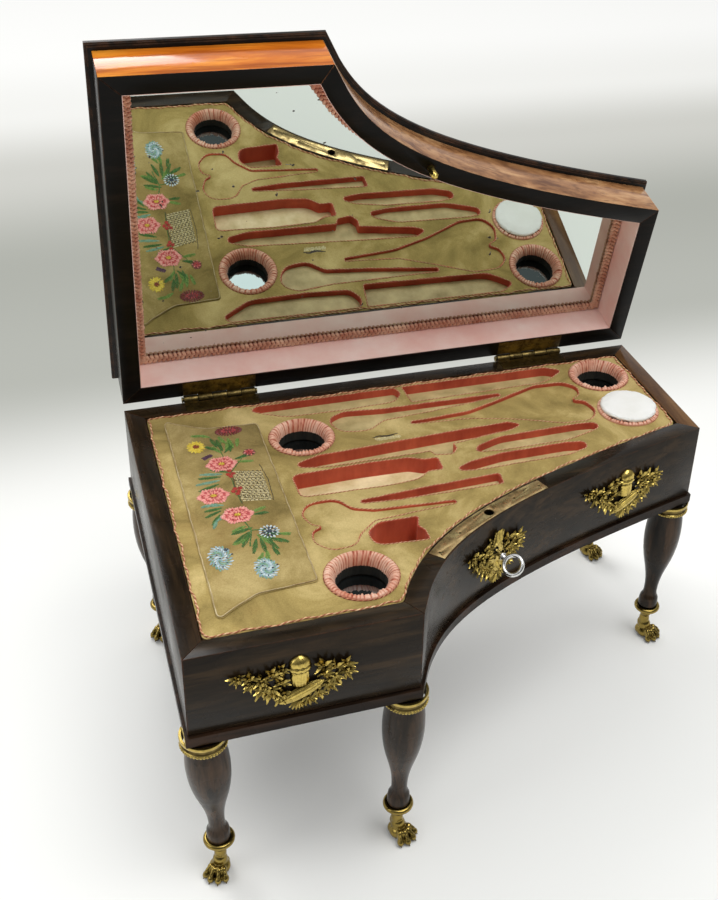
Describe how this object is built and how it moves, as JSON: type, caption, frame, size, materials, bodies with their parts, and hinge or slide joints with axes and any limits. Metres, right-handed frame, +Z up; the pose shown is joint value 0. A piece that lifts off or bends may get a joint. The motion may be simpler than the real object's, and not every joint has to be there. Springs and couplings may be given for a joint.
{
  "type": "sewing box",
  "caption": "Fitted sewing box shaped like a small grand piano: curved case on turned legs with paw feet, deep hinged mirror lid, velvet tray with tool recesses",
  "frame": {"origin": "middle of the floor rectangle under the object with its lid open, on the floor", "axes": "+X along the straight hinged side from the keyboard end to the tail, +Y from the short front face to the hinged side, +Z up"},
  "size_m": [0.3066, 0.2328, 0.3564],
  "materials": {
    "dark_wood": "polished dark hardwood, worn at the edges",
    "black_wood": "blackened moulding and board",
    "bright_wood": "bright figured veneer",
    "faded_wood": "faded pinkish brown veneer",
    "plain_wood": "unpolished",
    "old_brass": "tarnished",
    "gilt": "chased and gilt, rubbed bright on the high points",
    "steel": "old polished steel",
    "mirror": "old silvering with dark spots",
    "backing": "paper over board",
    "pink_silk": "ruched and corded silk",
    "pink_paper": "glazed paper",
    "velvet": "cut velvet, worn",
    "copper_cord": "twisted silk cord",
    "red_silk": "silk over card",
    "beige_silk": "silk",
    "white_silk": "tightly stuffed satin"
  },
  "bodies": {
    "case": {"spine_wall": "dark_wood", "keyboard_end_wall": "dark_wood", "cheek_wall": "dark_wood", "bentside_wall": "dark_wood", "tail_wall": "dark_wood", "plinth_board": "dark_wood", "tray_bearers": "plain_wood", "lock_case": "old_brass", "lock_plate": "old_brass", "lock_plate_pins": "old_brass", "cheek_mount": "gilt", "keyhole_mount": "gilt", "tail_mount": "gilt", "left_hinge_case_leaf": "old_brass", "right_hinge_case_leaf": "old_brass", "left_hinge_pin": "old_brass", "right_hinge_pin": "old_brass", "hinge_case_screws": "old_brass", "front_left_collar": "gilt", "front_left_leg": "dark_wood", "front_left_paw": "gilt", "cheek_right_collar": "gilt", "cheek_right_leg": "dark_wood", "cheek_right_paw": "gilt", "tail_front_collar": "gilt", "tail_front_leg": "dark_wood", "tail_front_paw": "gilt", "back_right_collar": "gilt", "back_right_leg": "dark_wood", "back_right_paw": "gilt", "back_left_collar": "gilt", "back_left_leg": "dark_wood", "back_left_paw": "gilt"},
    "lid": {"lid_board": "black_wood", "lid_spine_wall": "dark_wood", "lid_keyboard_end_wall": "dark_wood", "lid_cheek_wall": "bright_wood", "lid_bentside_wall": "faded_wood", "lid_tail_wall": "dark_wood", "mirror_glass": "mirror", "mirror_backing": "backing", "mirror_gimp": "pink_silk", "lid_lining": "pink_paper", "lid_catch": "gilt", "left_hinge_lid_leaf": "old_brass", "right_hinge_lid_leaf": "old_brass", "hinge_lid_screws": "old_brass"},
    "tray": {"tray_core": "plain_wood", "tray_velvet": "velvet", "tray_edging": "copper_cord", "recess_linings": "red_silk", "recess_floors": "beige_silk", "recess_edging": "copper_cord", "socket_rings": "pink_silk", "socket_mirrors": "mirror", "embroidered_panel": "velvet"},
    "pincushion": {"pincushion": "white_silk"},
    "key": {"key": "steel"},
    "bolt": {"lock_bolt": "steel"}
  },
  "joints": [
    {"name": "lid_hinge", "type": "hinge", "parent": "case", "child": "lid", "pos_m": [0, 0.08969, 0.15015], "axis": [-1, 0, 0], "range_deg": [-76.5, 20]},
    {"name": "tray_lift", "type": "slide", "parent": "case", "child": "tray", "axis": [0, 0, 1], "range_m": [0, 0.006]},
    {"name": "pincushion_lift", "type": "slide", "parent": "tray", "child": "pincushion", "axis": [0, 0, 1], "range_m": [0, 0.004]},
    {"name": "key_turn", "type": "hinge", "parent": "case", "child": "key", "pos_m": [0.01189, -0.05602, 0.13], "axis": [-0.4516, 0.8677, 0.2079], "range_deg": [-45, 45]},
    {"name": "bolt_slide", "type": "slide", "parent": "case", "child": "bolt", "axis": [-0.8871, -0.4616, 0], "range_m": [-0.0025, 0.0025]}
  ],
  "couplings": [
    {"joint": "key_turn", "follows": "bolt_slide", "rad_per_m": 314.1}
  ]
}
